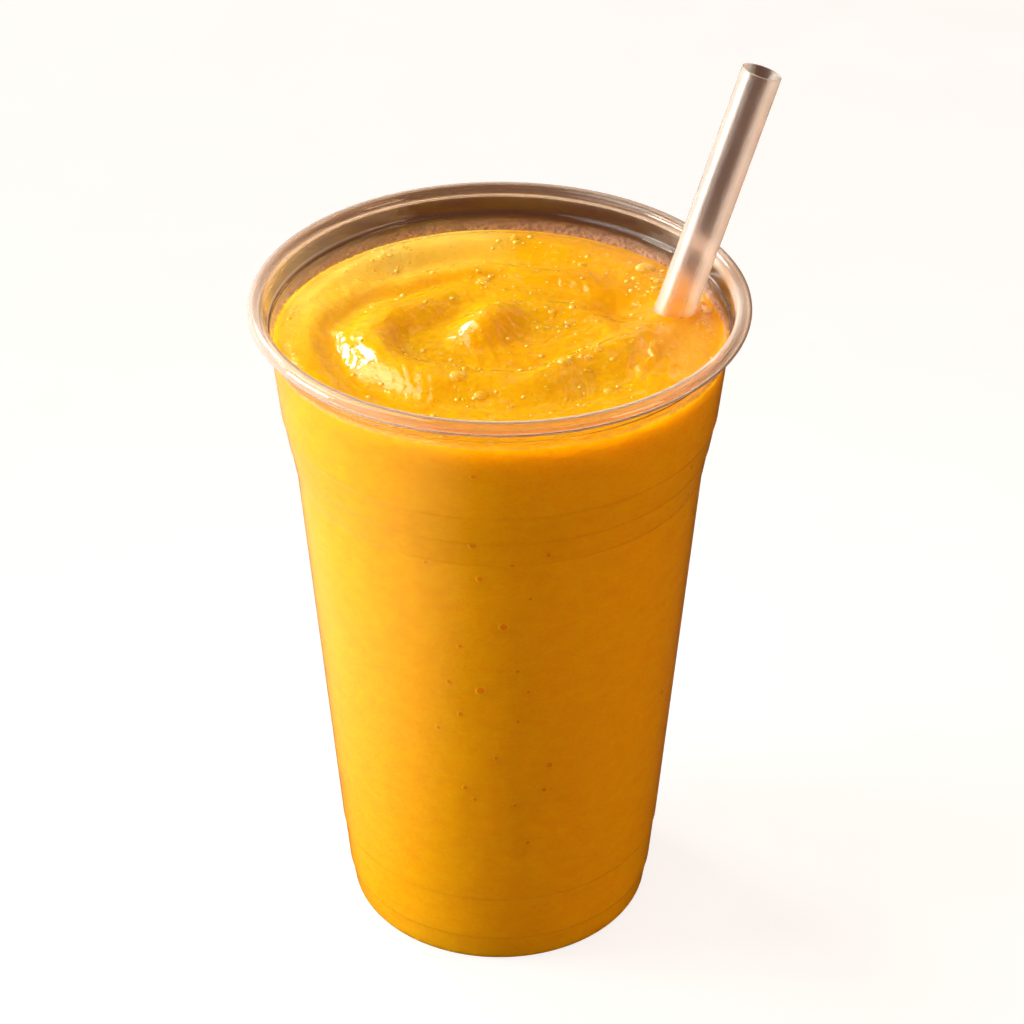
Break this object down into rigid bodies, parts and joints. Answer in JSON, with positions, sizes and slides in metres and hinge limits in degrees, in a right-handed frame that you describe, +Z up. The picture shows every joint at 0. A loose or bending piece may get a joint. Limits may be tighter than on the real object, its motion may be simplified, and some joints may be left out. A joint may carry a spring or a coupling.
{
  "type": "mango smoothie",
  "caption": "Thick mango smoothie with a swirled top, filling a clear tapered take-away cup with a rolled rim, with a straight straw standing in it.",
  "frame": {"origin": "centre of the cup's base, on the surface it stands on", "axes": "+Z up along the cup's axis; +X towards the side the straw leans to; +Y towards the back"},
  "size_m": [0.103, 0.098, 0.1845],
  "materials": {
    "clear_plastic": "clear PET, smooth and glossy, faintly warm in tone",
    "smoothie": "thick blended mango, opaque deep yellow, wet and glossy with small bubbles",
    "straw_plastic": "translucent polypropylene, satin, faintly pinkish"
  },
  "bodies": {
    "root": {"cup": "clear_plastic", "smoothie": "smoothie", "straw": "straw_plastic"}
  },
  "joints": []
}
